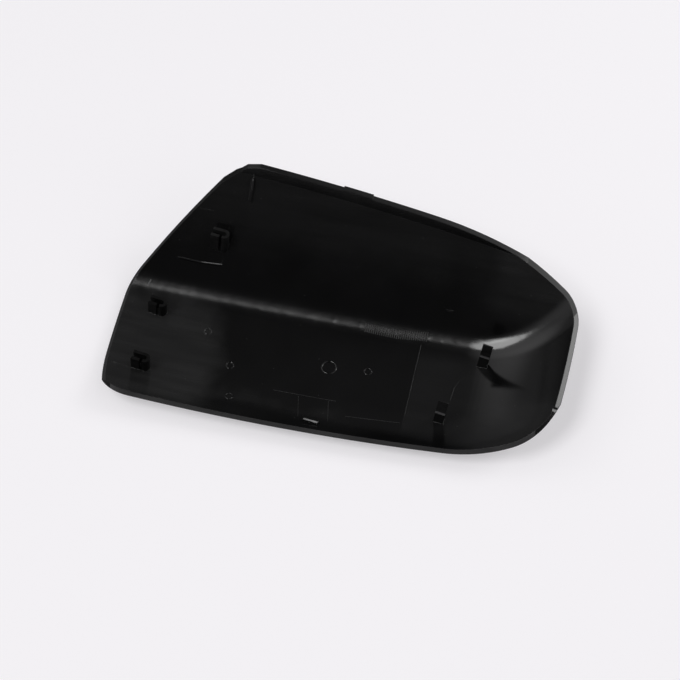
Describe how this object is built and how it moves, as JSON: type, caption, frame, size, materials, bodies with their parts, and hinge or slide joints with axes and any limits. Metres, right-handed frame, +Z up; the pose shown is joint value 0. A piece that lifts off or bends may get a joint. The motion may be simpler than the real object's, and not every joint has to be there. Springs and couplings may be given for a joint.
{
  "type": "wing mirror cover",
  "caption": "Moulded black plastic cap for a car wing mirror, lying on its outer face with the hollow side up, with fork clips and snap hooks inside.",
  "frame": {"origin": "middle of the footprint of the cover lying on its outer face, at floor level", "axes": "+X along the cover from its raked inner end to its turned-up outer end, +Y from the low near rim to the tall leaning wall, +Z up out of the hollow"},
  "size_m": [0.2252, 0.1158, 0.0566],
  "materials": {
    "black_plastic": "satin gloss as moulded"
  },
  "bodies": {
    "root": {"mirror_cover": "black_plastic"}
  },
  "joints": []
}
